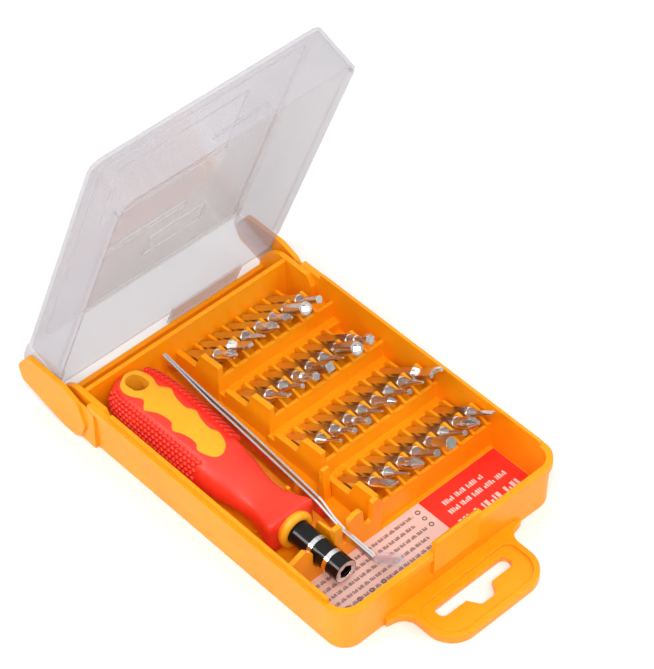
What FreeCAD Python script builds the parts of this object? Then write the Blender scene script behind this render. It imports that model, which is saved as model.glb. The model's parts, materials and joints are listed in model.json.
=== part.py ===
"""Precision screwdriver set: a hinged box with a driver, thirty bits and tweezers.

Units are millimetres. The origin is the centre of the tray's underside, +Z is up,
-Y is the front with the hang tab and +Y is the hinge end. The lid is modelled open.
"""
import FreeCAD
import Part
import math
import os

V = FreeCAD.Vector

# --- Driving dimensions ------------------------------------------------------
TRAY_HALF_WIDTH = 44.0
TRAY_FRONT = -60.0
TRAY_LEDGE_Z = 17.0
FLOOR_Z = 1.4
BAND_HEIGHT = 2.0
BAND_PROUD = 0.7
BOTTOM_INSET = 1.15
WALL_INNER_X = 41.9
CORNER_RADIUS = 7.5
LIP_HEIGHT = 1.9

PIVOT_Y = 55.3
PIVOT_Z = 4.1
LID_OPEN_DEG = 68.85
LID_HALF_WIDTH = 43.1
LID_WALL = 1.0
LID_DEPTH = 15.6
LID_FRONT = -58.9
LID_REAR = 51.1
ARM_REAR = 60.8
STUB_RADIUS = 1.5
CATCH_RADIUS = 0.45
CATCH_HEIGHT = 3.45
HINGE_CLEARANCE = 0.05
LOBE_THICKNESS = 1.8
EAR_INNER_X = 43.4
EAR_OUTER_X = 45.0

BIT_TILT_DEG = 39.3
BIT_RING_Z = 15.44
BIT_SHANK = 18.0
BIT_REACH = 11.0
BIT_FLATS = 3.9
BIT_ROWS = (
    (40.33, -1.23, 32.23, 7),
    (17.58, -0.95, 32.02, 7),
    (-5.73, -1.9, 36.91, 8),
    (-28.4, -2.05, 37.6, 8),
)
RIB_THICKNESS = 1.0
END_RIB_EXTRA = 0.9
RACK_STEP_Z = 8.4
RACK_FRONT = 4.3
RACK_FRONT_Z = 11.2
RACK_REAR = 16.0
LEDGE_Z = 4.8

DRIVER_X = -27.2
DRIVER_Z = 9.8
BARREL_RADIUS = 3.9
BARREL_NOSE = -43.2
BARREL_END = -12.0
GRIP_FLATTEN = 0.82
GRIP_PROFILE = (
    (8.6, -20.5), (8.9, -19.2), (7.9, -15.5), (6.8, -9.5), (7.1, -2.5), (8.6, 5.0), (9.5, 14.0),
    (9.9, 26.0), (9.9, 38.0), (9.5, 46.5), (8.4, 50.4), (6.3, 53.2), (2.6, 55.1),
)
COLLAR_Y = -21.95
COLLAR_RING = 4.7
COLLAR_BEAD = 1.4
FIT_GAP = 0.05
HANG_HOLE_Y = 47.8
HANG_HOLE_X = 2.8
HANG_HOLE_LENGTH = 8.0
EYE_RIM = 1.4
INLAY_HALF_WIDTH = 3.4
INLAY_FRONT = 9.0

TWEEZER_STRIP = 0.65
TWEEZER_LOW_Z = 8.0
TWEEZER_TOP_Z = 14.0
TWEEZER_BEND = (-46.3, 11.1)
TWEEZER_BEND_DEG = 40.0


# --- Shape helpers -----------------------------------------------------------
def block(x0, x1, y0, y1, z0, z1):
    return Part.makeBox(x1 - x0, y1 - y0, z1 - z0, V(x0, y0, z0))


def rod(radius, start, direction, length):
    return Part.makeCylinder(radius, length, V(*start), V(*direction))


def corner_edges(points):
    """Edges of a closed outline; each point is (vector, corner radius)."""
    count = len(points)
    stops = []
    for index in range(count):
        here, radius = points[index]
        before = points[index - 1][0]
        after = points[(index + 1) % count][0]
        if radius <= 0:
            stops.append((here, None, here))
            continue
        back = (before - here).normalize()
        ahead = (after - here).normalize()
        half = back.getAngle(ahead) / 2
        reach = radius / math.tan(half)
        bisector = (back + ahead).normalize()
        centre = here + bisector * (radius / math.sin(half))
        middle = centre - bisector * radius
        stops.append((here + back * reach, middle, here + ahead * reach))
    edges = []
    for index in range(count):
        start, middle, end = stops[index]
        if middle is not None:
            edges.append(Part.Arc(start, middle, end).toShape())
        following = stops[(index + 1) % count][0]
        if end.distanceToPoint(following) > 1e-6:
            edges.append(Part.LineSegment(end, following).toShape())
    return edges


def face_of(points):
    return Part.Face(Part.Wire(corner_edges(points)))


def plate_z(points, z0, z1):
    """Solid from an outline of (x, y, radius) between two heights."""
    face = face_of([(V(x, y, z0), radius) for x, y, radius in points])
    return face.extrude(V(0, 0, z1 - z0))


def plate_x(points, x0, x1):
    """Solid from an outline of (y, z, radius) between two X places."""
    face = face_of([(V(x0, y, z), radius) for y, z, radius in points])
    return face.extrude(V(x1 - x0, 0, 0))


def plate_y(points, y0, y1):
    """Solid from an outline of (x, z, radius) between two Y places."""
    face = face_of([(V(x, y0, z), radius) for x, z, radius in points])
    return face.extrude(V(0, y1 - y0, 0))


def revolve_z(profile):
    """Solid of revolution about Z from (radius, z) points."""
    wire = Part.makePolygon([V(r, 0, z) for r, z in profile] + [V(profile[0][0], 0, profile[0][1])])
    return Part.Face(wire).revolve(V(0, 0, 0), V(0, 0, 1), 360)


def revolve_y(profile, x, z):
    """Solid of revolution about a line along Y from (radius, y) points."""
    wire = Part.makePolygon([V(x + r, y, z) for r, y in profile] + [V(x + profile[0][0], profile[0][1], z)])
    return Part.Face(wire).revolve(V(x, 0, z), V(0, 1, 0), 360)


def polygon_prism(sides, across_flats, z0, z1, turn=0.0):
    radius = across_flats / 2 / math.cos(math.pi / sides)
    corners = []
    for index in range(sides + 1):
        angle = turn + 2 * math.pi * index / sides
        corners.append(V(radius * math.cos(angle), radius * math.sin(angle), z0))
    return Part.Face(Part.makePolygon(corners)).extrude(V(0, 0, z1 - z0))


def fuse(shapes):
    return shapes[0].fuse(shapes[1:]).removeSplitter()


def mirrored(shape):
    return shape.mirror(V(0, 0, 0), V(1, 0, 0))


def save(node, shape):
    shape.exportStep("parts/%s.step" % node)


# --- Tray --------------------------------------------------------------------
def tray_outline(inset, rear, radius):
    half = TRAY_HALF_WIDTH - inset
    front = TRAY_FRONT + inset
    return [(-half, front, radius), (half, front, radius), (half, rear, 0), (-half, rear, 0)]


def tray_shell():
    rear = PIVOT_Y - 4.4
    wall_top = TRAY_LEDGE_Z - BAND_HEIGHT
    lower = []
    for z, inset in ((0, BOTTOM_INSET), (wall_top, BAND_PROUD)):
        outline = tray_outline(inset, rear, CORNER_RADIUS - inset)
        lower.append(Part.Wire(corner_edges([(V(x, y, z), r) for x, y, r in outline])))
    body = Part.makeLoft(lower, True, True)
    band = plate_z(tray_outline(0, rear, CORNER_RADIUS), wall_top - 0.4, TRAY_LEDGE_Z)
    inner_inset = TRAY_HALF_WIDTH - WALL_INNER_X
    inside = tray_outline(inner_inset, rear + 1, CORNER_RADIUS - inner_inset)
    hollow = plate_z(inside, FLOOR_Z, TRAY_LEDGE_Z + 1)
    return fuse([body, band]).cut(hollow)


def side_lip():
    low, high = TRAY_FRONT + 8, TRAY_FRONT + 102
    z0, z1 = TRAY_LEDGE_Z - 0.5, TRAY_LEDGE_Z + LIP_HEIGHT
    outline = [(low, z0, 0), (low, z1, 1.0), (high, z1, 1.0), (high, z0, 0)]
    return plate_x(outline, WALL_INNER_X, WALL_INNER_X + 1.0)


def rear_floor():
    """Floor behind the racks, with the lid's sloped stop and a cross ridge."""
    floor = block(-WALL_INNER_X, WALL_INNER_X, PIVOT_Y - 5, PIVOT_Y + 13, 0, FLOOR_Z)
    front, stop_height = PIVOT_Y + 10.9, 6.0
    outline = [(front, 0, 0), (front + 4.0, 0, 0), (front + 1.7, stop_height, 0), (front, stop_height, 0)]
    stop = plate_x(outline, -40.5, 40.5)
    ridge = block(-WALL_INNER_X, WALL_INNER_X, PIVOT_Y + 0.45, PIVOT_Y + 1.9, 0.5, TRAY_LEDGE_Z - 0.8)
    return [floor, stop, ridge]


def hinge_lobe():
    """Wall beside the lid arm, whose rear edge is an arc about the pivot."""
    top = TRAY_LEDGE_Z - 0.3
    radius = 13.0
    reach = math.sqrt(radius ** 2 - (top - PIVOT_Z) ** 2)
    x = WALL_INNER_X - LOBE_THICKNESS
    start = V(x, PIVOT_Y + reach, top)
    angle = math.atan2(top - PIVOT_Z, reach) / 2
    middle = V(x, PIVOT_Y + radius * math.cos(angle), PIVOT_Z + radius * math.sin(angle))
    end = V(x, PIVOT_Y + radius, PIVOT_Z)
    corners = [end, V(x, PIVOT_Y + radius, 0.5), V(x, PIVOT_Y - 11.3, 0.5), V(x, PIVOT_Y - 11.3, 13.0),
               V(x, PIVOT_Y - 9.0, top), start]
    edges = [Part.LineSegment(a, b).toShape() for a, b in zip(corners, corners[1:])]
    edges.append(Part.Arc(start, middle, end).toShape())
    return Part.Face(Part.Wire(edges)).extrude(V(LOBE_THICKNESS, 0, 0))


def hinge_ear():
    """Cheek outside the lid arm, with the stub that the arm turns on."""
    y = TRAY_FRONT
    outline = [(y + 111.7, 7.4, 1.5), (y + 113.5, 2.4, 1.5), (y + 116.5, 0.0, 1.0), (y + 121.5, 0.0, 6.0),
               (y + 141.6, 5.1, 2.5), (y + 143.0, 10.5, 3.0), (y + 138.0, 17.5, 3.0), (y + 121.5, 17.5, 4.0),
               (y + 114.6, 15.0, 3.0)]
    ear = plate_x(outline, EAR_INNER_X, EAR_OUTER_X)
    outside = TRAY_HALF_WIDTH + 0.1
    top = TRAY_LEDGE_Z - BAND_HEIGHT
    root = block(WALL_INNER_X, outside, PIVOT_Y - 7.0, PIVOT_Y - 4.4, 0, top)
    skin = block(EAR_INNER_X, outside, PIVOT_Y - 5.0, PIVOT_Y + 2.0, 0.3, top)
    foot = block(WALL_INNER_X - 1, TRAY_HALF_WIDTH, PIVOT_Y - 5.0, PIVOT_Y + 7.0, 0, 1.0)
    stub = rod(STUB_RADIUS, (WALL_INNER_X + 0.2, PIVOT_Y, PIVOT_Z), (1, 0, 0), EAR_INNER_X - WALL_INNER_X)
    return [ear, root, skin, foot, stub]


def latch_tongue():
    """Spring tongue on the front wall, curled outwards at its top."""
    y = TRAY_FRONT
    profile = [(y + 0.95, 8.0, 0), (y + 0.95, 22.0, 0.6), (y - 0.6, 23.9, 0.6), (y - 1.5, 22.9, 0.4),
               (y - 0.3, 21.2, 0.8), (y - 0.3, 9.0, 0.5)]
    tongue = plate_x(profile, -9.0, 9.0)
    groove = rod(CATCH_RADIUS + 0.15, (-8.0, LID_FRONT, TRAY_LEDGE_Z + CATCH_HEIGHT), (1, 0, 0), 16.0)
    tongue = tongue.cut(groove)
    outline = [(-9.0, 7.0, 0), (9.0, 7.0, 0), (9.0, 24.5, 3.0), (-9.0, 24.5, 3.0)]
    return tongue.common(plate_y(outline, y - 3, y + 3))


def hang_tab():
    """Flat tab with a hanging slot and a raised rim along its edge."""
    y = TRAY_FRONT
    outline = [(-27, y + 1.8, 0), (-27, y, 0), (-20.5, y - 1.5, 5.0), (-20.5, y - 19.2, 9.0),
               (20.5, y - 19.2, 9.0), (20.5, y - 1.5, 5.0), (27, y, 0), (27, y + 1.8, 0)]
    inner = [(-18.7, y - 3.0, 3.0), (-18.7, y - 17.4, 7.2), (18.7, y - 17.4, 7.2), (18.7, y - 3.0, 3.0)]
    tab = plate_z(outline, 0, 2.8).cut(plate_z(inner, 2.0, 4.0))
    wide = [(-14.5, y - 5.2, 2.0), (-14.5, y - 9.8, 2.0), (14.5, y - 9.8, 2.0), (14.5, y - 5.2, 2.0)]
    notch = [(-5.2, y - 7.0, 0), (-5.2, y - 9.9, 0), (-2.8, y - 13.8, 1.8), (2.8, y - 13.8, 1.8),
             (5.2, y - 9.9, 0), (5.2, y - 7.0, 0)]
    return tab.cut(plate_z(wide, -1, 4)).cut(plate_z(notch, -1, 4))


def rack(ring_y, first_x, last_x, count):
    """Comb of ribs that holds one row of bits, with its front and rear walls."""
    pitch = (last_x - first_x) / (count - 1)
    low = FLOOR_Z - 0.5
    rear = ring_y + RACK_REAR
    front = ring_y - RACK_FRONT
    rib = [(rear, low, 0), (rear, 5.6, 0), (rear - 1.4, 7.4, 0.5), (ring_y + 6.4, 7.9, 0),
           (ring_y + 3.6, 14.7, 0.4), (ring_y + 3.0, 15.4, 0), (ring_y - 0.8, 15.1, 0.4),
           (ring_y - 0.8, 12.9, 0), (front, 12.0, 0.4), (front, low, 0)]
    end_rib = [(rear, low, 0), (rear, 7.8, 0), (ring_y + 6.4, 8.4, 0),
               (ring_y + 3.8, 15.4, 0.6), (front, 16.0, 0.6), (front, low, 0)]
    half = RIB_THICKNESS / 2
    end_x = first_x - pitch / 2
    pieces = [plate_x(end_rib, end_x - half - END_RIB_EXTRA, end_x + half)]
    for index in range(1, count + 1):
        x = end_x + index * pitch
        pieces.append(plate_x(rib, x - half, x + half))
    left = end_x - half - END_RIB_EXTRA
    right = WALL_INNER_X + 0.1
    pieces.append(block(left, right, rear - 0.5, rear + 0.5, low, LEDGE_Z))
    pieces.append(block(left, right, front, front + 1.2, low, RACK_FRONT_Z))
    pieces.append(block(left, right, front + 0.9, ring_y + 1.5, low, RACK_STEP_Z))
    return pieces


def rack_ledges():
    """Filled ledges between each rack and the one in front of it."""
    pieces = []
    for behind, ahead in zip(BIT_ROWS[:-1], BIT_ROWS[1:]):
        rear = behind[0] - RACK_FRONT + 0.2
        front = ahead[0] + RACK_REAR - 0.2
        left = ahead[1] - (ahead[2] - ahead[1]) / (2 * ahead[3] - 2) - RIB_THICKNESS / 2 - END_RIB_EXTRA
        pieces.append(block(left, WALL_INNER_X + 0.1, front, rear, FLOOR_Z - 0.5, LEDGE_Z))
    return pieces


def cross_wall():
    """Wall across the front of the handle bay, notched for the barrel and the tweezers."""
    y = TRAY_FRONT + 26.0
    left = DRIVER_X - BARREL_RADIUS - 0.3
    right = DRIVER_X + BARREL_RADIUS + 0.3
    outline = [(-42.0, 1.0, 0), (-42.0, 14.0, 0), (-38.5, 14.4, 1.0), (-34.3, 16.0, 0.8),
               (left, 13.0, 0.6), (left, 5.5, 3.5), (right, 5.5, 3.5), (right, 15.8, 0.5),
               (-19.9, 15.8, 0.5), (-19.9, 7.0, 0.5), (-17.1, 7.0, 0.5), (-17.1, 15.4, 0.8),
               (-14.6, 16.3, 1.0), (-12.0, 16.3, 1.2), (-11.2, 9.0, 1.2), (-8.4, 7.6, 1.0),
               (-8.0, 16.5, 1.0), (-5.6, 16.5, 0.9), (-4.4, 14.6, 0.5), (-4.4, 1.0, 0)]
    wall = plate_y(outline, y, y + 1.6)
    channel = [(y + 0.5, 1.0, 0), (y + 0.5, 12.5, 0), (y + 9.2, 11.5, 1.0), (y + 9.8, 1.0, 0)]
    return [wall, plate_x(channel, -21.7, -20.8)]


def rest_clips():
    """Low saddles under the grip and small spikes that keep the tweezers in line."""
    pieces = []
    y = TRAY_FRONT + 50.0
    saddle = [(-41.9, 1.0, 0), (-41.9, 9.0, 0), (-36.0, 4.6, 1.0), (-32.5, 2.4, 0.8), (-22.5, 2.4, 0.8),
              (-20.0, 5.6, 0.8), (-19.7, 11.8, 0.3), (-18.6, 11.8, 0.3), (-17.8, 1.0, 0)]
    pieces.append(plate_y(saddle, y - 0.6, y + 0.6))
    foot = TRAY_FRONT + 44.9
    spike = [(foot, 1.0, 0), (foot + 3.4, 1.0, 0), (foot + 2.3, 14.2, 0.4), (foot + 1.0, 14.2, 0.4)]
    pieces.append(plate_x(spike, -9.2, -6.6))
    return pieces


def make_tray():
    right = hinge_ear() + [hinge_lobe(), side_lip()]
    pieces = [tray_shell(), latch_tongue(), hang_tab()] + rear_floor() + right
    pieces += [mirrored(piece) for piece in right]
    for ring_y, first_x, last_x, count in BIT_ROWS:
        pieces += rack(ring_y, first_x, last_x, count)
    pieces += rack_ledges()
    pieces += cross_wall() + rest_clips()
    return fuse(pieces)


def make_label():
    inset = TRAY_HALF_WIDTH - WALL_INNER_X + 0.2
    outline = tray_outline(inset, TRAY_FRONT + 25.8, CORNER_RADIUS - inset)
    return plate_z(outline, FLOOR_Z, FLOOR_Z + 0.15)


# --- Lid ---------------------------------------------------------------------
def lid_outline(inset, radius):
    half = LID_HALF_WIDTH - inset
    front, rear = LID_FRONT + inset, LID_REAR - inset
    return [(-half, front, radius), (half, front, radius), (half, rear, 0.2), (-half, rear, 0.2)]


def lid_arm():
    """Side extension of the lid with the boss that turns on the tray's stub."""
    rim = TRAY_LEDGE_Z + 0.05
    top = rim + LID_DEPTH
    outer, inner = LID_HALF_WIDTH, LID_HALF_WIDTH - LID_WALL
    side = [(LID_REAR - 2, rim, 0), (ARM_REAR, rim, 0), (ARM_REAR, top, 6.0), (LID_REAR - 2, top, 0)]
    upper = plate_x(side, inner, outer)
    boss_radius = 2.7
    leg = [(LID_REAR + 0.2, rim + 1, 0), (PIVOT_Y - boss_radius, PIVOT_Z, 0),
           (PIVOT_Y + boss_radius, PIVOT_Z, 0), (ARM_REAR, rim + 1, 0)]
    web = plate_x(leg, inner, outer)
    boss = rod(boss_radius, (inner, PIVOT_Y, PIVOT_Z), (1, 0, 0), LID_WALL)
    bore = rod(STUB_RADIUS + HINGE_CLEARANCE, (inner - 1, PIVOT_Y, PIVOT_Z), (1, 0, 0), LID_WALL + 2)
    return fuse([upper, web, boss]).cut(bore)


def lid_band():
    """Stepped skirt along both sides and the front that covers the tray's lip."""
    rim = TRAY_LEDGE_Z + 0.05
    outer = plate_z(lid_outline(-0.6, 5.6), rim, rim + 2.1)
    inner = plate_z(lid_outline(0.0, 5.0), rim - 1, rim + 3)
    keep = block(-60, 60, LID_FRONT + 6.0, TRAY_FRONT + 102.5, rim - 1, rim + 3)
    return outer.cut(inner).common(keep)


def make_lid():
    rim = TRAY_LEDGE_Z + 0.05
    top = rim + LID_DEPTH
    outer = plate_z(lid_outline(0, 5.0), rim, top)
    rounded = [edge for edge in outer.Edges if edge.BoundBox.ZMin > top - 0.01]
    outer = outer.makeFillet(1.2, rounded)
    hollow = plate_z(lid_outline(LID_WALL, 4.0), rim - 1, top - 1.2)
    shell = outer.cut(hollow)
    step = LID_HALF_WIDTH - 0.1
    lip_room = block(WALL_INNER_X - 0.2, step, LID_FRONT + 6.0, TRAY_FRONT + 102.5, rim - 1, rim + 2.1)
    shell = shell.cut(lip_room).cut(mirrored(lip_room))
    tab = block(3.0, 31.0, LID_REAR - 0.5, ARM_REAR, rim, rim + 1.0)
    catch = rod(CATCH_RADIUS, (-7.5, LID_FRONT, TRAY_LEDGE_Z + CATCH_HEIGHT), (1, 0, 0), 15.0)
    pieces = [shell, lid_band(), tab, catch, lid_arm(), mirrored(lid_arm())]
    lid = fuse(pieces)
    lid.rotate(V(0, PIVOT_Y, PIVOT_Z), V(1, 0, 0), -LID_OPEN_DEG)
    return lid


# --- Bits --------------------------------------------------------------------
def star(points, outer, inner, z0, z1):
    corners = []
    for index in range(2 * points + 1):
        radius = outer if index % 2 == 0 else inner
        angle = math.pi * index / points
        corners.append(V(radius * math.cos(angle), radius * math.sin(angle), z0))
    return Part.Face(Part.makePolygon(corners)).extrude(V(0, 0, z1 - z0))


def flute_section(near, radius, z):
    """Triangle across a flute, with its point at this distance from the axis."""
    wide = 0.86 * radius
    far = near + wide
    return Part.makePolygon([V(near, 0, z), V(far, -wide, z), V(far, wide, z), V(near, 0, z)])


def fluted_tip(radius, start, end, flutes):
    """Pointed round tip with tapering flutes, as on cross and tri-wing bits."""
    shoulder = end - 1.9 * radius
    body = revolve_z([(0, start), (radius, start), (radius, shoulder), (0.25 * radius, end), (0, end)])
    deep = flute_section(0.9 * radius, radius, shoulder - 1.4 * radius)
    shallow = flute_section(0.16 * radius, radius, end + 0.1)
    for index in range(flutes):
        flute = Part.makeLoft([deep, shallow], True, True)
        flute.rotate(V(0, 0, 0), V(0, 0, 1), 360.0 * (index + 0.5) / flutes)
        body = body.cut(flute)
    return body


def blade_tip(radius, start, end, width, thickness):
    """Round stem flattened to a slotted blade."""
    body = rod(radius, (0, 0, start), (0, 0, 1), end - start)
    flat = block(-width / 2, width / 2, -radius, radius, start - 1, end + 1)
    slope = [(radius + 0.2, start, 0), (thickness / 2, end - 1.2, 0), (thickness / 2, end + 1, 0),
             (radius + 3, end + 1, 0), (radius + 3, start, 0)]
    wedge = plate_x(slope, -9, 9)
    other = wedge.mirror(V(0, 0, 0), V(0, 1, 0))
    return body.common(flat).cut(wedge).cut(other)


def stem(radius, start, end):
    return rod(radius, (0, 0, start), (0, 0, 1), end - start)


def socket_tip(start, end, across):
    body = stem(BIT_FLATS / 2 + 0.2, start, end)
    return body.cut(polygon_prism(6, across, end - 2.5, end + 1))


def spade_tip(start, end, width, thickness):
    """Wide flat blade that starts at the shank, with cut corners."""
    half = width / 2
    outline = [(-1.2, start, 0), (-half, start + 2.2, 0.8), (-half, end - 1.8, 0.6), (-half / 2, end, 0.4),
               (half / 2, end, 0.4), (half, end - 1.8, 0.6), (half, start + 2.2, 0.8), (1.2, start, 0)]
    return plate_y(outline, -thickness / 2, thickness / 2)


def fork_tip(start, end):
    half, thickness = 2.6, 1.3
    outline = [(-1.4, start, 0), (-half, start + 3.0, 1.0), (-half, end, 0), (1.0 - half, end, 0),
               (-1.0, end - 2.2, 0.9), (1.0, end - 2.2, 0.9), (half - 1.0, end, 0), (half, end, 0),
               (half, start + 3.0, 1.0), (1.4, start, 0)]
    return plate_y(outline, -thickness / 2, thickness / 2)


def tip_shape(kind, size):
    """Tip of a bit along +Z; the shank's chamfer ring is at Z = 0."""
    end = BIT_REACH
    cone_end = 3.6
    cone_top = min(size, 1.5)
    cone_base = BIT_FLATS / 2 - 0.1
    cone = revolve_z([(0, -0.5), (cone_base, -0.5), (cone_base, 0.4), (cone_top, cone_end), (0, cone_end)])
    base = cone_end - 0.4
    if kind == "cross":
        return fuse([cone, fluted_tip(size, base, end, 4)])
    if kind == "tri":
        return fuse([cone, fluted_tip(size, base, end, 3)])
    if kind == "slot":
        return fuse([cone, blade_tip(size, base, end, 2 * size, 0.5)])
    if kind == "rod":
        return fuse([cone, stem(size, base, end)])
    if kind == "pin":
        return fuse([cone, revolve_z([(0, base), (size, base), (0.35 * size, end), (0, end)])])
    if kind == "hex":
        return fuse([cone, polygon_prism(6, 2 * size, base, end)])
    if kind == "square":
        return fuse([cone, polygon_prism(4, 2 * size, base, end, math.pi / 4)])
    if kind == "star":
        return fuse([cone, stem(0.75 * size, base, end - 2.4), star(6, size, 0.72 * size, end - 2.5, end)])
    if kind == "socket":
        return fuse([stem(1.6, -0.5, 1.4), socket_tip(1.0, end, size)])
    if kind == "spade":
        return fuse([stem(1.5, -0.5, 1.0), spade_tip(0.0, end, 2 * size, 1.0)])
    return fuse([stem(1.5, -0.5, 1.0), fork_tip(0.0, end)])


BIT_KINDS = (
    (("cross", 1.5), ("spade", 1.95), ("pin", 1.0), ("cross", 1.75), ("cross", 1.5), ("socket", 2.6),
     ("rod", 1.2)),
    (("slot", 1.0), ("rod", 0.7), ("star", 1.5), ("square", 1.4), ("pin", 0.8), ("socket", 2.6),
     ("star", 1.75)),
    (("rod", 0.5), ("star", 1.0), ("star", 1.2), ("pin", 0.9), ("tri", 1.4), ("rod", 0.8),
     ("pin", 1.1), ("fork", 2.6)),
    (("slot", 1.5), ("pin", 0.8), ("cross", 1.9), ("rod", 1.1), ("hex", 1.7), ("rod", 0.8),
     ("cross", 1.95), ("slot", 0.9)),
)


def make_bit(kind, size):
    shank = polygon_prism(6, BIT_FLATS, -BIT_SHANK, 0.0, math.pi / 6)
    half, low = BIT_FLATS / 2, -BIT_SHANK
    ends = revolve_z([(0, low - 0.1), (half - 0.15, low - 0.1), (half + 0.4, low + 0.5), (half + 0.4, -0.5),
                      (half - 0.1, 0.1), (0, 0.1)])
    return fuse([shank.common(ends), tip_shape(kind, size)])


def place_bit(bit, x, y):
    bit.rotate(V(0, 0, 0), V(1, 0, 0), 90 - BIT_TILT_DEG)
    bit.translate(V(x, y, BIT_RING_Z))
    return bit


# --- Driver ------------------------------------------------------------------
def grip_body(shrink):
    """Waisted grip, flatter in Z than in X."""
    points = [V(radius - shrink, y, 0) for radius, y in GRIP_PROFILE]
    points[-1].y -= shrink
    curve = Part.BSplineCurve()
    curve.interpolate(points)
    start, end = points[0], points[-1]
    edges = [curve.toShape(), Part.LineSegment(end, V(0, end.y, 0)).toShape(),
             Part.LineSegment(V(0, end.y, 0), V(0, start.y, 0)).toShape(),
             Part.LineSegment(V(0, start.y, 0), start).toShape()]
    solid = Part.Face(Part.Wire(edges)).revolve(V(0, 0, 0), V(0, 1, 0), 360)
    squash = FreeCAD.Matrix()
    squash.scale(1.0, 1.0, GRIP_FLATTEN)
    solid = solid.transformGeometry(squash)
    solid.translate(V(DRIVER_X, 0, DRIVER_Z))
    return solid


def hang_hole(extra):
    """Rounded slot through the butt, larger all round by this much."""
    half_x = HANG_HOLE_X + extra
    half_y = HANG_HOLE_LENGTH / 2 + extra
    corner = half_x - 0.2
    outline = [(DRIVER_X + x * half_x, HANG_HOLE_Y + y * half_y, corner)
               for x, y in ((-1, -1), (1, -1), (1, 1), (-1, 1))]
    return plate_z(outline, -5, 30)


def driver_rod(radius, y, length):
    """Cylinder on the driver's own axis."""
    return rod(radius, (DRIVER_X, y, DRIVER_Z), (0, 1, 0), length)


def make_grip():
    """Yellow core with its inlay and eye, and the rubber round it."""
    outer = grip_body(0.0)
    core_room = grip_body(1.8)
    left, right = DRIVER_X - INLAY_HALF_WIDTH, DRIVER_X + INLAY_HALF_WIDTH
    window = block(left, right, INLAY_FRONT, HANG_HOLE_Y, -30, 30)
    eye = hang_hole(EYE_RIM)
    front = GRIP_PROFILE[0][1] - 1
    bore = driver_rod(BARREL_RADIUS + FIT_GAP, front, BARREL_END + FIT_GAP - front)
    core = fuse([core_room, window.common(outer), eye.common(outer)]).cut(hang_hole(0.0)).cut(bore)
    rubber = outer.cut(core_room).cut(window).cut(eye)
    return core, rubber


def make_collar():
    """Round bead in front of the grip, joined to it by a short tube."""
    bead = Part.makeTorus(COLLAR_RING, COLLAR_BEAD, V(DRIVER_X, COLLAR_Y, DRIVER_Z), V(0, 1, 0))
    grip_front = GRIP_PROFILE[0][1]
    tube = driver_rod(COLLAR_RING + 0.9, COLLAR_Y, grip_front - FIT_GAP - COLLAR_Y)
    return fuse([bead, tube]).cut(driver_rod(BARREL_RADIUS + FIT_GAP, COLLAR_Y - 3, 6))


def make_barrel():
    """Barrel with a hex socket, two plated bands, a ring in its nose and a magnet."""
    band_floor = BARREL_RADIUS - 0.4
    barrel = driver_rod(BARREL_RADIUS, BARREL_NOSE, BARREL_END - BARREL_NOSE)
    bands = []
    for y in (-38.6, -32.0):
        band = driver_rod(BARREL_RADIUS + 1, y, 1.5).cut(driver_rod(band_floor, y - 1, 4))
        barrel = barrel.cut(band)
        bands.append(band.common(driver_rod(BARREL_RADIUS + 0.1, y, 1.5)))
    socket = polygon_prism(6, 4.2, 0, 12.0, math.pi / 6)
    socket.rotate(V(0, 0, 0), V(1, 0, 0), -90)
    socket.translate(V(DRIVER_X, BARREL_NOSE - 1.0, DRIVER_Z))
    nose_depth = 0.8
    nose_ring = BARREL_RADIUS - 0.15
    barrel = barrel.cut(driver_rod(nose_ring, BARREL_NOSE, nose_depth)).cut(socket)
    barrel = barrel.cut(driver_rod(1.75, BARREL_NOSE + 10.0, 3.0))
    nose = driver_rod(nose_ring, BARREL_NOSE, nose_depth).cut(socket)
    magnet = driver_rod(1.7, BARREL_NOSE + 11.1, 1.8)
    return barrel, bands, nose, magnet


def make_driver():
    core, rubber = make_grip()
    barrel, (front_band, rear_band), nose, magnet = make_barrel()
    return {"driver_grip_core": core, "driver_rubber_grip": rubber, "driver_collar": make_collar(),
            "driver_barrel": barrel, "driver_ring_front": front_band, "driver_ring_rear": rear_band,
            "driver_nose_ring": nose, "driver_magnet": magnet}


# --- Tweezers ----------------------------------------------------------------
# Centre line (x, y) from the joined end to the tips, with half of the gap between the arms there.
TWEEZER_LINE = ((-11.7, 53.9, 0.03), (-12.4, 46.0, 0.05), (-14.0, 29.0, 0.35), (-15.2, 7.0, 0.5),
                (-17.0, -21.5, 0.4), (-18.1, -28.3, 0.06), (-18.5, -33.2, 0.06), (-18.7, -47.5, 0.06))


def bent_band(near, far, half_near, half_far):
    """Outline of (y, z, radius) along the upturned tip, between two distances from the bend."""
    angle = math.radians(TWEEZER_BEND_DEG)
    along = (-math.cos(angle), math.sin(angle))
    normal = (math.sin(angle), math.cos(angle))
    points = []
    for reach, half in ((near, -half_near), (far, -half_far), (far, half_far), (near, half_near)):
        y = TWEEZER_BEND[0] + along[0] * reach + normal[0] * half
        z = TWEEZER_BEND[1] + along[1] * reach + normal[1] * half
        points.append((y, z, 0))
    return points


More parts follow.
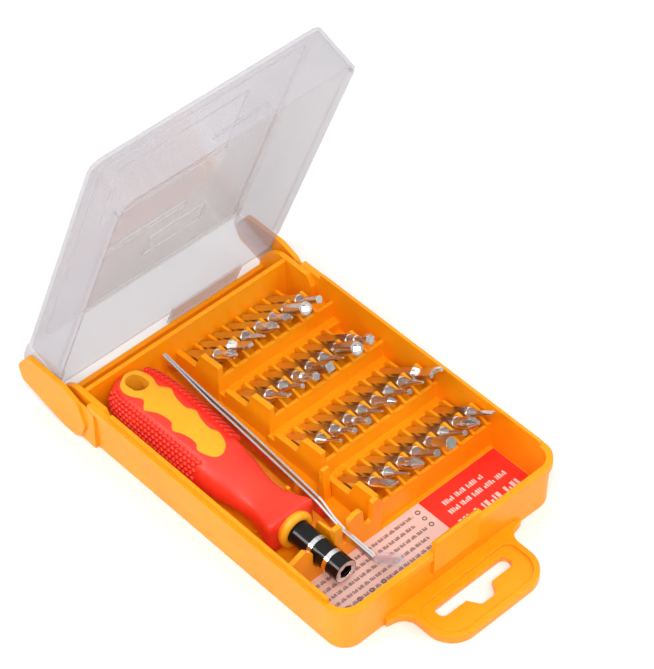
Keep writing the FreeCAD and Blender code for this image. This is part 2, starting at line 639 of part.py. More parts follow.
def tweezer_arm(side):
    inner = [V(x + side * gap, y, 0) for x, y, gap in TWEEZER_LINE]
    outer = [V(x + side * (gap + TWEEZER_STRIP), y, 0) for x, y, gap in reversed(TWEEZER_LINE)]
    wire = Part.makePolygon(inner + outer + [inner[0]])
    slab = Part.Face(wire).extrude(V(0, 0, 40))
    y = TRAY_FRONT
    outline = [(y + 114.5, 13.4, 0.5), (y + 114.5, 9.0, 0.5), (y + 80, TWEEZER_LOW_Z, 0), (y + 45, 8.4, 0),
               (y + 30, 9.4, 0), (y + 13.4, 10.2, 0), (y + 14.0, 12.1, 0), (y + 27, 12.3, 0),
               (y + 40, 13.6, 0), (y + 80, TWEEZER_TOP_Z, 0)]
    body = slab.common(plate_x(outline, -40, 0))
    x, _, gap = TWEEZER_LINE[-1]
    near = x + side * gap
    far = near + side * TWEEZER_STRIP
    tip = plate_x(bent_band(-0.4, 12.6, 0.95, 0.4), min(near, far), max(near, far))
    return fuse([body, tip])


def tip_sleeve():
    """Clear sleeve pushed over the bent tips."""
    x = TWEEZER_LINE[-1][0]
    sleeve = plate_x(bent_band(1.6, 13.2, 1.6, 1.3), x - 1.3, x + 1.3)
    return sleeve.cut(plate_x(bent_band(1.0, 12.9, 1.1, 0.8), x - 0.85, x + 0.85))


def make_tweezers():
    x, y, _ = TWEEZER_LINE[0]
    hole = rod(1.1, (x - 3.0, y - 4.0, 11.2), (1, 0, 0), 6.0)
    rivet = rod(1.1, (x - 1.1, y - 4.0, 11.2), (1, 0, 0), 1.5)
    return {"tweezers_arm_left": tweezer_arm(-1).cut(hole), "tweezers_arm_right": tweezer_arm(1).cut(hole),
            "tweezers_rivet": rivet, "tweezers_tip_sleeve": tip_sleeve()}


# --- Build -------------------------------------------------------------------
os.makedirs("parts", exist_ok=True)
save("tray", make_tray())
save("lid", make_lid())
save("label_card", make_label())
for row, (ring_y, first_x, last_x, count) in enumerate(BIT_ROWS):
    for column, (kind, size) in enumerate(BIT_KINDS[row]):
        bit_x = first_x + (last_x - first_x) * column / (count - 1)
        save("bit_%d_%d" % (row + 1, column + 1), place_bit(make_bit(kind, size), bit_x, ring_y))
for node, shape in make_driver().items():
    save(node, shape)
for node, shape in make_tweezers().items():
    save(node, shape)
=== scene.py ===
import json
import math

import bmesh
import bpy
import numpy as np
from mathutils import Matrix, Vector


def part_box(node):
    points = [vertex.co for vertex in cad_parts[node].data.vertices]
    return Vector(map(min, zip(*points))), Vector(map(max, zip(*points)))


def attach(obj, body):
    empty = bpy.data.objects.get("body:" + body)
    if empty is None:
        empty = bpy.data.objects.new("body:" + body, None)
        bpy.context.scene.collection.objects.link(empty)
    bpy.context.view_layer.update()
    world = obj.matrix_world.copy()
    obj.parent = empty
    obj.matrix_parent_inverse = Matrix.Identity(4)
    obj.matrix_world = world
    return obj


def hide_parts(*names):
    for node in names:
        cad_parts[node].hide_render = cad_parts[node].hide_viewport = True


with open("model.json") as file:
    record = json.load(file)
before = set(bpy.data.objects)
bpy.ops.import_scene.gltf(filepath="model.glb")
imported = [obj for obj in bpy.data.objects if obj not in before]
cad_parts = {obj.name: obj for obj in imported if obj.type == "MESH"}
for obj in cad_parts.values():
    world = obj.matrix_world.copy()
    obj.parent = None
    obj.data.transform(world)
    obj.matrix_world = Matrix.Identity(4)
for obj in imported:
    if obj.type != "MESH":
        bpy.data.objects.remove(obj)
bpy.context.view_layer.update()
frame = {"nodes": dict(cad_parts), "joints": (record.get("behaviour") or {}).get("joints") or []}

MM = 0.001


# --- Materials ---------------------------------------------------------------
RANGE_SOCKETS = ("From Min", "From Max", "To Min", "To Max")
NOISE_SPAN = (0.3, 0.7)
PLASTIC_IOR, RUBBER_IOR = 1.49, 1.5
PLASTIC_SHEEN = 0.32
# How far light travels inside thin walls, mm.
PLASTIC_GLOW_DEPTH, RUBBER_GLOW_DEPTH = 2.2, 1.5


class Finish:
    """A Principled material with helpers for its procedural detail."""

    def __init__(self, name, roughness, metallic=0.0, **sockets):
        self.material = bpy.data.materials.new(name)
        self.material.use_nodes = True
        self.tree = self.material.node_tree
        self.shader = self.tree.nodes["Principled BSDF"]
        self.coordinates = self.tree.nodes.new("ShaderNodeTexCoord")
        self.set("Roughness", roughness)
        self.set("Metallic", metallic)
        for socket, value in sockets.items():
            self.set(socket.replace("_", " "), value)
        self.surface = None

    def set(self, socket, value):
        self.shader.inputs[socket].default_value = value

    def add(self, kind, **properties):
        node = self.tree.nodes.new(kind)
        for key, value in properties.items():
            setattr(node, key, value)
        return node

    def link(self, source, target):
        self.tree.links.new(source, target)

    def noise(self, scale, detail=2.0, stretch=(1, 1, 1), rotation=(0, 0, 0)):
        """Noise in the object's own space, with its scale in cells per metre."""
        mapping = self.add("ShaderNodeMapping")
        mapping.inputs["Scale"].default_value = stretch
        mapping.inputs["Rotation"].default_value = rotation
        self.link(self.coordinates.outputs["Object"], mapping.inputs["Vector"])
        node = self.add("ShaderNodeTexNoise")
        node.inputs["Scale"].default_value = scale
        node.inputs["Detail"].default_value = detail
        self.link(mapping.outputs["Vector"], node.inputs["Vector"])
        return node.outputs["Fac"]

    def remap(self, factor, span, low, high):
        """Spreads a factor from one span of values over another."""
        node = self.add("ShaderNodeMapRange")
        for socket, value in zip(RANGE_SOCKETS, (*span, low, high)):
            node.inputs[socket].default_value = value
        self.link(factor, node.inputs["Value"])
        return node.outputs["Result"]

    def colours(self, factor, low, high):
        """Base colour between two tones, driven by a noise."""
        node = self.add("ShaderNodeValToRGB")
        for element, place, colour in zip(node.color_ramp.elements, NOISE_SPAN, (low, high)):
            element.position = place
            element.color = (*colour, 1.0)
        self.link(factor, node.inputs["Fac"])
        self.link(node.outputs["Color"], self.shader.inputs["Base Color"])

    def rough(self, factor, low, high):
        """Roughness between two values, driven by a noise."""
        self.link(self.remap(factor, NOISE_SPAN, low, high), self.shader.inputs["Roughness"])

    def soften(self, radius):
        """Rounds the look of sharp edges by this many millimetres."""
        node = self.add("ShaderNodeBevel", samples=6)
        node.inputs["Radius"].default_value = radius * MM
        self.surface = node.outputs["Normal"]
        self.link(self.surface, self.shader.inputs["Normal"])

    def bump(self, factor, height):
        """Fine grain of this height in millimetres."""
        node = self.add("ShaderNodeBump")
        node.inputs["Strength"].default_value = 1.0
        node.inputs["Distance"].default_value = height * MM
        self.link(factor, node.inputs["Height"])
        if self.surface is not None:
            self.link(self.surface, node.inputs["Normal"])
        self.surface = node.outputs["Normal"]
        self.link(self.surface, self.shader.inputs["Normal"])


def plastic(name, low, high, roughness, softness, grain=0.006, glow=0.0, glow_colour=(1.0, 0.3, 0.05)):
    """Moulded plastic; a glow lets some light through its thin walls."""
    finish = Finish(name, roughness, IOR=PLASTIC_IOR)
    finish.colours(finish.noise(55, 3), low, high)
    finish.rough(finish.noise(400, 4), roughness - 0.05, roughness + 0.07)
    finish.soften(softness)
    finish.bump(finish.noise(2600, 2), grain)
    finish.set("Specular IOR Level", PLASTIC_SHEEN)
    if glow:
        finish.set("Subsurface Weight", glow)
        finish.set("Subsurface Radius", glow_colour)
        finish.set("Subsurface Scale", PLASTIC_GLOW_DEPTH * MM)
    return finish.material


def clear_plastic(name, tint, face, edge):
    """Clear moulding that is denser where it is seen edge on."""
    finish = Finish(name, 0.08, IOR=PLASTIC_IOR)
    finish.colours(finish.noise(30, 2), tint, tuple(min(1, c * 1.08) for c in tint))
    finish.rough(finish.noise(60, 2), 0.05, 0.11)
    facing = finish.add("ShaderNodeLayerWeight")
    facing.inputs["Blend"].default_value = 0.35
    density = finish.remap(facing.outputs["Facing"], (0, 1), face, edge)
    finish.link(density, finish.shader.inputs["Alpha"])
    finish.soften(0.35)
    return finish.material


def metal(name, low, high, roughness, softness, stretch=(1, 1, 1), rotation=(0, 0, 0), scratch=0.004):
    """Plated or brushed metal; the streaks follow the stretch of the noise."""
    finish = Finish(name, roughness, metallic=1.0)
    streaks = finish.noise(500, 2, stretch, rotation)
    finish.colours(finish.noise(90, 2), low, high)
    finish.rough(streaks, roughness - 0.04, roughness + 0.06)
    if softness:
        finish.soften(softness)
    finish.bump(streaks, scratch)
    return finish.material


def rubber(name, low, high):
    finish = Finish(name, 0.42, IOR=RUBBER_IOR)
    finish.colours(finish.noise(70, 3), low, high)
    finish.rough(finish.noise(500, 4), 0.36, 0.5)
    finish.bump(finish.noise(3200, 3), 0.01)
    finish.set("Subsurface Weight", 0.15)
    finish.set("Subsurface Radius", (1.0, 0.15, 0.1))
    finish.set("Subsurface Scale", RUBBER_GLOW_DEPTH * MM)
    return finish.material


def paper(name, low, high):
    finish = Finish(name, 0.6)
    finish.colours(finish.noise(120, 5), low, high)
    finish.bump(finish.noise(5000, 4), 0.008)
    return finish.material


TRAY_ORANGE = plastic("tray_moulding", (0.93, 0.31, 0.001), (0.98, 0.35, 0.003), 0.38, 0.35, glow=0.35,
                      glow_colour=(1.0, 0.35, 0.03))
LID_CLEAR = clear_plastic("lid_moulding", (0.49, 0.475, 0.51), 0.26, 0.62)
# The lid's ribs get a lighter, denser copy of the lid plastic: a painted highlight along the ribs, not a
# different material.
LID_RIB_HIGHLIGHT = clear_plastic("lid_rib_highlight", (0.80, 0.77, 0.78), 0.55, 0.9)
SLEEVE_CLEAR = clear_plastic("sleeve_moulding", (0.66, 0.60, 0.70), 0.10, 0.42)
GRIP_RED = rubber("grip_red", (0.83, 0.028, 0.012), (0.92, 0.045, 0.02))
CORE_YELLOW = plastic("core_moulding", (0.86, 0.36, 0.012), (0.91, 0.41, 0.02), 0.3, 0.2, glow=0.15)
BARREL_BLACK = plastic("barrel_enamel", (0.002, 0.002, 0.0025), (0.005, 0.005, 0.006), 0.16, 0.12, grain=0.0004)
CHROME = metal("ring_plate", (0.82, 0.82, 0.83), (0.92, 0.92, 0.92), 0.14, 0.08, scratch=0.0002)
MAGNET = metal("magnet_plate", (0.5, 0.5, 0.5), (0.62, 0.62, 0.62), 0.3, 0.1)
BIT_TILT = math.radians(39.3)
BIT_STEEL = metal("bit_plate", (0.66, 0.63, 0.60), (0.80, 0.77, 0.74), 0.2, 0.1,
                  stretch=(1, 0.06, 1), rotation=(BIT_TILT, 0, 0), scratch=0.0001)
TWEEZER_STEEL = metal("tweezer_plate", (0.88, 0.88, 0.89), (0.95, 0.95, 0.96), 0.2, 0,
                      stretch=(1, 0.03, 1), scratch=0.0001)
LABEL_PALE = paper("label_pale", (0.72, 0.50, 0.45), (0.78, 0.56, 0.51))
LABEL_RED = paper("label_red", (0.80, 0.016, 0.006), (0.88, 0.03, 0.012))
LABEL_INK = paper("label_ink", (0.13, 0.09, 0.09), (0.19, 0.13, 0.13))
LABEL_WHITE = paper("label_white", (0.80, 0.60, 0.55), (0.88, 0.70, 0.65))
FLOOR_WHITE = paper("floor_sweep", (0.86, 0.86, 0.86), (0.89, 0.89, 0.89))

# The finish of each node, by the start of its name.
NODE_FINISHES = (
    ("tray", TRAY_ORANGE), ("lid", LID_CLEAR), ("label_card", LABEL_PALE), ("bit_", BIT_STEEL),
    ("driver_collar", CORE_YELLOW), ("driver_barrel", BARREL_BLACK), ("driver_nose_ring", CHROME),
    ("driver_ring_", CHROME), ("driver_magnet", MAGNET), ("driver_grip_core", CORE_YELLOW),
    ("driver_rubber_grip", GRIP_RED), ("tweezers_arm", TWEEZER_STEEL), ("tweezers_rivet", TWEEZER_STEEL),
    ("tweezers_tip_sleeve", SLEEVE_CLEAR),
)


def dress_node(name, node):
    for prefix, material in NODE_FINISHES:
        if name.startswith(prefix):
            for place in node.material_slots:
                place.link = "OBJECT"
                place.material = material


for node_name, node_object in frame["nodes"].items():
    dress_node(node_name, node_object)


# --- Mesh helpers ------------------------------------------------------------
def new_piece(name, vertices, faces, material, body=None, slot=None, smooth=True):
    """A mesh object in metres that rides on a body when one is named."""
    mesh = bpy.data.meshes.new(name)
    mesh.from_pydata([tuple(v) for v in vertices], [], faces)
    mesh.validate()
    if smooth:
        mesh.shade_smooth()
    mesh.materials.append(material)
    piece = bpy.data.objects.new(name, mesh)
    bpy.context.scene.collection.objects.link(piece)
    if body:
        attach(piece, body)
    return piece


def catmull_rom(points, steps, closed=True):
    """Smooth curve through the points."""
    points = np.array(points, float)
    count = len(points)
    result = []
    for i in range(count if closed else count - 1):
        a, b = points[(i - 1) % count], points[i]
        c, d = points[(i + 1) % count], points[(i + 2) % count]
        if not closed and i == 0:
            a = b
        if not closed and i == count - 2:
            d = c
        for s in range(steps):
            t = s / steps
            square = (2 * a - 5 * b + 4 * c - d) * t * t
            cube = (3 * b - a - 3 * c + d) * t ** 3
            result.append(0.5 * (2 * b + (c - a) * t + square + cube))
    if not closed:
        result.append(points[-1])
    return np.array(result)


def prism_mesh(outline, z0, z1):
    """Closed prism between two heights from an outline of (x, y)."""
    count = len(outline)
    vertices = [(x, y, z) for z in (z0, z1) for x, y in outline]
    sides = [(i, (i + 1) % count, count + (i + 1) % count, count + i) for i in range(count)]
    return vertices, sides + [tuple(reversed(range(count))), tuple(range(count, 2 * count))]


def cut_mesh(piece, operation, vertices, faces):
    """Combines a piece with a closed helper shape, and keeps the result."""
    helper = new_piece("helper", vertices, faces, piece.data.materials[0], smooth=False)
    modifier = piece.modifiers.new("combine", "BOOLEAN")
    modifier.operation = operation
    modifier.solver = "EXACT"
    modifier.object = helper
    bpy.context.view_layer.update()
    evaluated = piece.evaluated_get(bpy.context.evaluated_depsgraph_get())
    mesh = bpy.data.meshes.new_from_object(evaluated)
    piece.modifiers.clear()
    piece.data = mesh
    bpy.data.objects.remove(helper)


# --- Grip --------------------------------------------------------------------
# Half width and half height of the grip in mm, each with its y.
GRIP_PROFILE = np.array((
    (8.9, -20.5), (9.2, -19.2), (7.9, -15.5), (6.8, -9.5), (7.1, -2.5), (8.6, 5.0), (9.5, 14.0),
    (9.9, 26.0), (9.9, 38.0), (9.5, 46.5), (8.4, 50.4), (6.3, 53.2), (2.6, 55.1),
))
GRIP_HALF_HEIGHT = np.array((
    (6.7, -20.5), (6.8, -19.2), (5.9, -15.5), (5.0, -9.5), (5.6, -2.5), (7.0, 5.0), (7.8, 14.0),
    (8.3, 26.0), (8.2, 36.0), (7.6, 43.0), (6.75, 48.6), (6.5, 50.0), (6.5, 51.6), (6.1, 53.4), (4.2, 55.1),
))
BARREL_LOW, BARREL_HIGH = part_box("driver_barrel")
AXIS_X = (BARREL_LOW[0] + BARREL_HIGH[0]) / 2 / MM
AXIS_Z = (BARREL_LOW[2] + BARREL_HIGH[2]) / 2 / MM
FRONT_Y, BUTT_Y = GRIP_PROFILE[0][1], GRIP_PROFILE[-1][1]
WIDTH_LINE = catmull_rom(GRIP_PROFILE, 12, closed=False)
HEIGHT_LINE = catmull_rom(GRIP_HALF_HEIGHT, 12, closed=False)
GRIP_RISE = 0.1
AROUND = 144
# Where the four-lobed flange ends and where the round butt starts.
FLANGE_Y, BUTT_START_Y = -10, 46
FLANGE_SINK, FLANGE_LOBE = 0.09, 0.24
FLARE_SPAN, LOBES, LOBE_SHARPNESS = (-4, -19), 4, 1.5
# The round neck grows squarer over this span of y.
SQUARE_SPAN, SQUARENESS = (0, 30), 0.5
# The two textured fields: first and last y in mm, first and last angle in radians.
DOT_FIELD = (12.5, 51.5, -1.5, -0.72)
RIB_FIELD = (13.5, 50.5, 0.56, 1.3)
DOT_ROWS, DOT_COLUMNS, DOT_MARGIN = 23, 5, 0.05
DOT_RADIUS, DOT_HEIGHT, DOT_BED_DEPTH = 0.72, 0.8, 0.3
BAR_COUNT, BAR_RADIUS, BAR_HEIGHT = 19, 0.58, 1.4
# The hanging hole: half width, half length and corner radius in the rubber and in the inlay.
HOLE_Y = 47.8
RUBBER_HOLE = (3.6, 4.8, 3.5)
INLAY_HOLE = (2.8, 4.0, 2.7)
INLAY_LIFT = 0.12
CUTTER_LOW, CUTTER_HIGH = -0.03, 0.05


def smooth_step(low, high, value):
    """Eases from 0 at one value to 1 at the other."""
    t = np.clip((value - low) / (high - low), 0, 1)
    return t * t * (3 - 2 * t)


def grip_point(y, angle, lift=0.0):
    """Point on the grip in mm; the angle turns from +Z towards +X."""
    half_width = np.interp(y, WIDTH_LINE[:, 1], WIDTH_LINE[:, 0])
    half_height = np.interp(y, HEIGHT_LINE[:, 1], HEIGHT_LINE[:, 0])
    flare = smooth_step(*FLARE_SPAN, y)
    corner = (0.5 - 0.5 * np.cos(LOBES * angle)) ** LOBE_SHARPNESS
    wave = 1 - flare * (FLANGE_SINK - FLANGE_LOBE * corner)
    power = 2 / (2.0 + SQUARENESS * smooth_step(*SQUARE_SPAN, y))
    sine, cosine = np.sin(angle), np.cos(angle)
    across = np.sign(sine) * np.abs(sine) ** power * (half_width * wave + lift)
    upward = np.sign(cosine) * np.abs(cosine) ** power * (half_height * wave + lift)
    return np.array([AXIS_X + across, y, AXIS_Z + GRIP_RISE + upward])


def grip_normal(y, angle):
    step = 0.02
    along = grip_point(y + step, angle) - grip_point(y - step, angle)
    around = grip_point(y, angle + step) - grip_point(y, angle - step)
    normal = np.cross(around, along)
    return normal / np.linalg.norm(normal)


def grip_stations():
    """Places of the grip's sections along y, closest at the flange and the butt."""
    butt_spread = 1 - np.sin(np.linspace(0, math.pi / 2, 26))
    return np.concatenate([np.linspace(FRONT_Y, FLANGE_Y, 26)[:-1],
                           np.linspace(FLANGE_Y, BUTT_START_Y, 90)[:-1],
                           BUTT_Y - (BUTT_Y - BUTT_START_Y) * butt_spread])


def dot_bed(y, angle):
    """Depth in mm of the shallow bed that the dots stand in."""
    y0, y1, a0, a1 = DOT_FIELD
    # Its edges ease in just outside the dots, in mm along y and in radians round the grip.
    inside = smooth_step(y0 - 2.2, y0 - 1.2, y) * smooth_step(y1 + 2.0, y1 + 1.0, y)
    inside *= smooth_step(a0 - 0.12, a0 - 0.06, angle) * smooth_step(a1 + 0.14, a1 + 0.07, angle)
    return DOT_BED_DEPTH * inside


def grip_shell(name, lift, material):
    """The whole grip as one closed skin; only the rubber, with no lift, has the bed."""
    stations = grip_stations()
    vertices = []
    for y in stations:
        for index in range(AROUND):
            angle = 2 * math.pi * index / AROUND - math.pi
            recess = dot_bed(y, angle) if lift == 0 else 0.0
            vertices.append(grip_point(y, angle, lift - recess) * MM)
    faces = []
    for row in range(len(stations) - 1):
        for index in range(AROUND):
            a = row * AROUND + index
            b = row * AROUND + (index + 1) % AROUND
            faces.append((a, a + AROUND, b + AROUND, b))
    faces.append(tuple(range(AROUND)))
    last = (len(stations) - 1) * AROUND
    faces.append(tuple(reversed(range(last, last + AROUND))))
    return new_piece(name, vertices, faces, material)


def inlay_outline():
    """Scalloped outline of the yellow inlay, wider round the hanging hole."""
    half = ((52.6, 2.6), (51.2, 4.3), (48.2, 5.2), (44.8, 4.7), (42.6, 3.7), (41.0, 3.6), (39.8, 4.6),
            (38.4, 5.8), (36.8, 5.2), (34.0, 4.0), (30.5, 3.4), (28.2, 3.6), (27.2, 4.6), (25.8, 5.1),
            (23.0, 4.0), (19.5, 3.3), (17.4, 3.5), (16.4, 4.3), (15.0, 4.6), (12.0, 3.7), (9.8, 2.3))
    stagger = 0.6
    right = [(AXIS_X + w, y + stagger) for y, w in half]
    left = [(AXIS_X - w, y - stagger) for y, w in reversed(half)]
    return catmull_rom([(AXIS_X, 53.4)] + right + [(AXIS_X, 8.9)] + left, 3)


def slot_outline(half_x, half_y, corner):
    """Outline of the hanging hole, with round corners."""
    count = 10
    points = []
    for quarter in range(4):
        sx = 1 if quarter in (0, 3) else -1
        sy = 1 if quarter < 2 else -1
        for s in range(count):
            a = math.pi / 2 * (quarter + s / (count - 1))
            points.append((AXIS_X + sx * (half_x - corner) + corner * math.cos(a),
                           HOLE_Y + sy * (half_y - corner) + corner * math.sin(a)))
    return points


def bump_shells(vertices, faces):
    """Round dots on one flank and short bars on the other."""
    y0, y1, a0, a1 = DOT_FIELD
    for row in range(DOT_ROWS):
        for column in range(DOT_COLUMNS):
            y = y0 + (y1 - y0) * (row + 0.5 * (column % 2)) / (DOT_ROWS - 0.5)
            angle = a0 + DOT_MARGIN + (a1 - a0 - 2 * DOT_MARGIN) * column / (DOT_COLUMNS - 1)
            add_capsule(vertices, faces, y, angle, angle, DOT_RADIUS, DOT_HEIGHT)
    y0, y1, a0, a1 = RIB_FIELD
    for bar in range(BAR_COUNT):
        y = y0 + (y1 - y0) * bar / (BAR_COUNT - 1)
        add_capsule(vertices, faces, y, a0, a1, BAR_RADIUS, BAR_HEIGHT)


def add_capsule(vertices, faces, y, start, end, radius, height):
    """Closed rounded bump lying on the grip from one angle to another."""
    long_steps = 1 if start == end else 9
    around = 10
    # Each layer's share of the radius and of the height; the first lies inside the grip.
    layers = ((1.0, -0.5), (1.0, 0.35), (0.86, 0.72), (0.55, 0.93))
    centre_angles = np.linspace(start, end, long_steps)
    loops = []
    for scale, rise in layers:
        loop = []
        for side in (1, -1):
            angles = centre_angles if side == 1 else centre_angles[::-1]
            anchor = angles[-1]
            for a in angles[:-1]:
                loop.append(bump_point(y, a, side * radius * scale, 0.0, rise * height))
            for k in range(around // 2 + 1):
                turn = math.pi * k / (around // 2)
                across = side * radius * scale * math.cos(turn)
                along = side * radius * scale * math.sin(turn)
                loop.append(bump_point(y, anchor, across, along, rise * height))
        loops.append(loop)
    base = len(vertices)
    count = len(loops[0])
    for loop in loops:
        vertices.extend(loop)
    for layer in range(len(loops) - 1):
        for k in range(count):
            a = base + layer * count + k
            b = base + layer * count + (k + 1) % count
            faces.append((a, b, b + count, a + count))
    top = base + (len(loops) - 1) * count
    faces.append(tuple(range(top, top + count)))
    faces.append(tuple(reversed(range(base, base + count))))


def bump_point(y, angle, along_axis, around_axis, rise):
    """Point in metres at an offset in mm from the grip's surface."""
    normal = grip_normal(y, angle)
    axis = np.array([0.0, 1.0, 0.0])
    axis -= normal * axis.dot(normal)
    axis /= np.linalg.norm(axis)
    across = np.cross(axis, normal)
    point = grip_point(y, angle) + axis * along_axis - across * around_axis + normal * rise
    return point * MM


def merge_extra(piece, vertices, faces):
    """Adds closed shells to a piece's own mesh."""
    mesh = bmesh.new()
    mesh.from_mesh(piece.data)
    made = [mesh.verts.new(tuple(v)) for v in vertices]
    fresh = [mesh.faces.new([made[i] for i in face]) for face in faces]
    bmesh.ops.recalc_face_normals(mesh, faces=fresh)
    for face in mesh.faces:
        face.smooth = True
    mesh.to_mesh(piece.data)
    mesh.free()


def through_prism(outline):
    """Prism in metres that goes right through the grip."""
    return prism_mesh([(x * MM, y * MM) for x, y in outline], CUTTER_LOW, CUTTER_HIGH)


grip = grip_shell("driver_grip_sleeve", 0.0, GRIP_RED)
cut_mesh(grip, "DIFFERENCE", *through_prism(slot_outline(*RUBBER_HOLE)))
extra_vertices, extra_faces = [], []
bump_shells(extra_vertices, extra_faces)
merge_extra(grip, extra_vertices, extra_faces)
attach(grip, "driver")
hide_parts("driver_rubber_grip")

inlay = grip_shell("driver_grip_inlay", INLAY_LIFT, CORE_YELLOW)
cut_mesh(inlay, "INTERSECT", *through_prism(inlay_outline()))
cut_mesh(inlay, "DIFFERENCE", *through_prism(slot_outline(*INLAY_HOLE)))
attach(inlay, "driver")
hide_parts("driver_grip_core")


# --- Label -------------------------------------------------------------------
LABEL_LOW, LABEL_HIGH = (tuple(c / MM for c in corner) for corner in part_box("label_card"))
LABEL_TOP = LABEL_HIGH[2]
RED_PANEL_X, RED_PANEL_INSET, RED_PANEL_RADIUS = 10.3, 0.05, 5.2
# How far each print stands in and out of the card's top face, mm.
PANEL_SINK, PANEL_RISE = 0.02, 0.03
MARK_SINK, TICK_RISE, RING_RISE = 0.01, 0.06, 0.07
RING_RADIUS, RING_INNER = 0.85, 0.55
# Shares of a row's tick width and height, for uneven ticks in groups.
TICK_WIDTH, TICK_WIDTH_STEP, SHORT_TICK = 0.8, 0.35, 0.62
TICK_GAP, GROUP_GAP = 0.75, 2.6
# Rows of ticks: y, first x, last x, tick height and tick width, mm.
DARK_ROWS = [(-37.4 - 2.9 * row, -38.0 + (row % 3) * 1.7, 5.4 - (row % 2) * 2.0, 1.15, 0.2)
             for row in range(6)]
RED_ROWS = [(-57.2, -33.0, 9.0, 2.0, 0.55)]
WHITE_ROWS = [(-40.4, 15.5, 31.0, 1.7, 0.42), (-44.0, 14.5, 37.0, 1.7, 0.42), (-50.0, 14.0, 38.0, 3.0, 0.8)]
RING_PLACES = ([(7.6, -36.8 - 2.9 * row) for row in range(3)]
               + [(-31.5 + 4.8 * step, -48.4) for step in range(4)])


def label_piece(name, vertices, faces, material):
    new_piece(name, vertices, faces, material, "tray", "label_paper", smooth=False)


def red_panel():
    """Red end of the card, with its one rounded corner at the front."""
    right, rear = LABEL_HIGH[0] - RED_PANEL_INSET, LABEL_HIGH[1] - RED_PANEL_INSET
    front, radius, steps = LABEL_LOW[1] + RED_PANEL_INSET, RED_PANEL_RADIUS, 8
    outline = [(RED_PANEL_X, rear), (RED_PANEL_X, front)]
    for step in range(steps + 1):
        turn = math.pi / 2 * step / steps
        outline.append((right - radius + radius * math.sin(turn), front + radius - radius * math.cos(turn)))
    outline.append((right, rear))
    vertices, faces = prism_mesh(outline, LABEL_TOP - PANEL_SINK, LABEL_TOP + PANEL_RISE)
    return np.array(vertices) * MM, faces


def tick_rows(rows):
    """Rows of plain ticks in small groups, with no letters in them."""
    vertices, faces = [], []
    low, high = LABEL_TOP - MARK_SINK, LABEL_TOP + TICK_RISE
    for y, x0, x1, tall, wide in rows:
        x, count = x0, 0
        while x < x1:
            count += 1
            width = wide * (TICK_WIDTH + TICK_WIDTH_STEP * ((count * 5) % 3))
            height = tall * (1.0 if (count * 3) % 4 else SHORT_TICK)
            tick = [(x, y), (x + width, y), (x + width, y + height), (x, y + height)]
            corners, sides = prism_mesh(tick, low, high)
            start = len(vertices)
            vertices += corners
            faces += [tuple(start + i for i in side) for side in sides]
            x += width + wide * (GROUP_GAP if (count * 7) % 5 == 0 else TICK_GAP)
    return np.array(vertices) * MM, faces


def ring_marks():
    """Small outlined rings and hexagons, for the tip shapes."""
    vertices, faces = [], []
    low, high, radius = LABEL_TOP - MARK_SINK, LABEL_TOP + RING_RISE, RING_RADIUS
    for index, (x, y) in enumerate(RING_PLACES):
        sides = 6 if index % 2 else 16
        start = len(vertices)
        for z in (low, high):
            for scale in (1.0, RING_INNER):
                for k in range(sides):
                    turn = 2 * math.pi * k / sides
                    vertices.append((x + radius * scale * math.cos(turn),
                                     y + radius * scale * math.sin(turn), z))
        for k in range(sides):
            n = (k + 1) % sides
            a, b, c, d = start, start + sides, start + 2 * sides, start + 3 * sides
            faces += [(a + k, a + n, c + n, c + k), (b + n, b + k, d + k, d + n),
                      (c + k, c + n, d + n, d + k), (a + n, a + k, b + k, b + n)]
    return np.array(vertices) * MM, faces


label_piece("label_red_panel", *red_panel(), LABEL_RED)
label_piece("label_ticks_dark", *tick_rows(DARK_ROWS), LABEL_INK)
label_piece("label_ticks_red", *tick_rows(RED_ROWS), LABEL_RED)
label_piece("label_ticks_white", *tick_rows(WHITE_ROWS), LABEL_WHITE)
label_piece("label_rings", *ring_marks(), LABEL_INK)


# --- Lid lines ---------------------------------------------------------------
HINGE = next(joint for joint in frame["joints"] if joint["name"] == "lid_hinge")
LID_OPEN = math.radians(HINGE["range_deg"][0])
# The ribs are laid out on the closed lid, then turned to the pose at rest.
CLOSED_TO_REST = (Matrix.Translation(HINGE["pos_m"]) @ Matrix.Rotation(LID_OPEN, 4, "X")
                  @ Matrix.Translation(-Vector(HINGE["pos_m"])))
# The closed lid's panel: its inner face, and the ribs' root inside it and their bevel, mm.
PANEL_INNER_Z, RIB_ROOT, RIB_BEVEL = 31.45, 0.05, 0.12
# Each rib's rectangle on the closed lid: x0, x1, y0, y1, corner radius, width and height, mm.
LID_FRAMES = (
    (-38.0, 38.0, -53.5, 46.5, 3.0, 0.7, 0.35),
    (-30.0, 18.3, -45.0, -12.6, 0.5, 0.4, 0.3),
    (10.2, 31.0, -27.4, -24.2, 0.5, 0.4, 0.3),
    (-24.0, 9.0, 8.6, 12.0, 0.5, 0.4, 0.3),
    (-3.4, 19.6, 19.8, 31.0, 0.5, 0.4, 0.3),
)


def rounded_rectangle(x0, x1, y0, y1, radius):
    steps = 6
    points = []
    for quarter, (cx, cy) in enumerate(((x1 - radius, y1 - radius), (x0 + radius, y1 - radius),
                                        (x0 + radius, y0 + radius), (x1 - radius, y0 + radius))):
        for step in range(steps):
            turn = math.pi / 2 * (quarter + step / (steps - 1))
            points.append((cx + radius * math.cos(turn), cy + radius * math.sin(turn)))
    return points


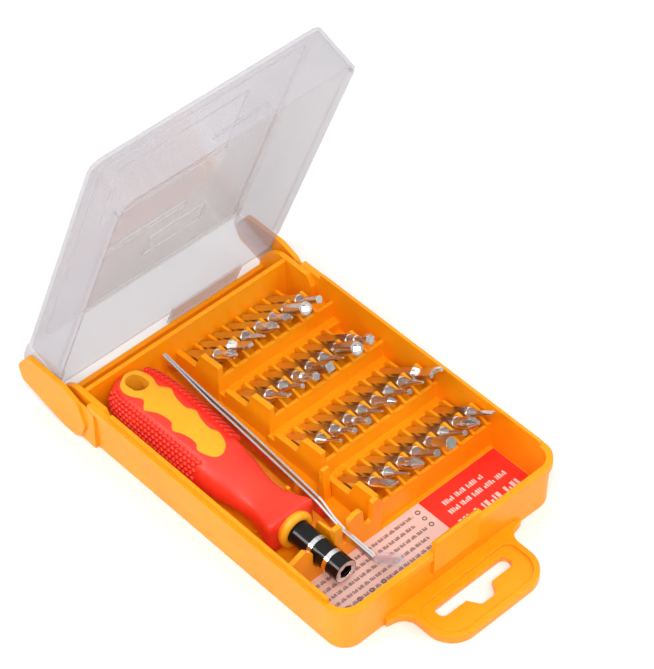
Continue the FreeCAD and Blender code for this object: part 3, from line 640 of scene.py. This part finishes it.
def raised_frames(frames):
    """Low trapezoid ribs round rectangles on the inner face of the closed lid's panel."""
    vertices, faces = [], []
    for x0, x1, y0, y1, radius, width, height in frames:
        loops = []
        section = ((0, -RIB_ROOT), (RIB_BEVEL, height), (width - RIB_BEVEL, height), (width, -RIB_ROOT))
        for inset, rise in section:
            corner = max(radius - inset, 0.1)
            outline = rounded_rectangle(x0 + inset, x1 - inset, y0 + inset, y1 - inset, corner)
            loops.append([(x, y, PANEL_INNER_Z - rise) for x, y in outline])
        count, start = len(loops[0]), len(vertices)
        for loop in loops:
            vertices += loop
        for layer in range(4):
            for k in range(count):
                n = (k + 1) % count
                a, b = start + layer * count, start + (layer + 1) % 4 * count
                faces.append((a + k, a + n, b + n, b + k))
    placed = [CLOSED_TO_REST @ (Vector(v) * MM) for v in vertices]
    return placed, faces


# The ribs carry the painted highlight material, lighter than the clear lid around them.
new_piece("lid_panel_lines", *raised_frames(LID_FRAMES), LID_RIB_HIGHLIGHT, "lid", "lid_clear", smooth=False)


# --- Stage, light and camera -------------------------------------------------
FLOOR_HALF, FLOOR_Z = 6.0, -0.0003
# The dome's brightness goes from the low to the high value between two heights of view.
DOME_HEIGHTS, DOME_LOW, DOME_HIGH = (0.25, 0.95), 0.26, 1.05
CAMERA_PLACE = Vector((-0.36876, -0.40739, 0.63425))
CAMERA_RIGHT = Vector((0.73162, -0.68168, -0.00600))
CAMERA_UP = Vector((0.49776, 0.52817, 0.68796))
CAMERA_BACK = Vector((-0.46580, -0.50632, 0.72573))
LENS, SENSOR_WIDTH = 151.16, 36
# Each light: name, place, target, width in metres, power in watts and colour.
LIGHTS = (
    ("front", (-0.45, -0.62, 1.05), (0, 0, 0.02), 0.7, 10.0, (1.0, 0.99, 0.97)),
    ("left_back", (-0.78, 0.52, 0.55), (-0.02, -0.02, 0.01), 0.4, 4.0, (1, 1, 1)),
    ("side", (0.7, -0.6, 0.6), (0, 0, 0.03), 0.6, 2.5, (0.97, 0.98, 1.0)),
)


def make_floor():
    half, z = FLOOR_HALF, FLOOR_Z
    corners = [(-half, -half, z), (half, -half, z), (half, half, z), (-half, half, z)]
    floor = new_piece("floor", corners, [(0, 1, 2, 3)], FLOOR_WHITE, smooth=False)


def area_light(name, place, target, size, power, colour):
    """Round soft light that points at the target."""
    data = bpy.data.lights.new(name, "AREA")
    data.shape = "DISK"
    data.size = size
    data.energy = power
    data.color = colour
    light = bpy.data.objects.new(name, data)
    light.location = place
    light.rotation_euler = (Vector(target) - Vector(place)).to_track_quat("-Z", "Y").to_euler()
    bpy.context.scene.collection.objects.link(light)


def make_world():
    """White studio dome, brightest overhead."""
    world = bpy.data.worlds.new("studio")
    world.use_nodes = True
    nodes, links = world.node_tree.nodes, world.node_tree.links
    background = nodes["Background"]
    background.inputs["Color"].default_value = (1.0, 1.0, 1.0, 1.0)
    direction = nodes.new("ShaderNodeTexCoord")
    parts = nodes.new("ShaderNodeSeparateXYZ")
    height = nodes.new("ShaderNodeMapRange")
    for socket, value in zip(RANGE_SOCKETS, (*DOME_HEIGHTS, DOME_LOW, DOME_HIGH)):
        height.inputs[socket].default_value = value
    links.new(direction.outputs["Generated"], parts.inputs["Vector"])
    links.new(parts.outputs["Z"], height.inputs["Value"])
    links.new(height.outputs["Result"], background.inputs["Strength"])
    bpy.context.scene.world = world


def make_camera():
    data = bpy.data.cameras.new("camera")
    data.lens = LENS
    data.sensor_width = SENSOR_WIDTH
    camera = bpy.data.objects.new("camera", data)
    rotation = Matrix((CAMERA_RIGHT, CAMERA_UP, CAMERA_BACK)).transposed().to_4x4()
    camera.matrix_world = Matrix.Translation(CAMERA_PLACE) @ rotation
    bpy.context.scene.collection.objects.link(camera)
    bpy.context.scene.camera = camera


make_floor()
make_world()
for light_values in LIGHTS:
    area_light(*light_values)
make_camera()
bpy.context.scene.view_settings.view_transform = "Standard"
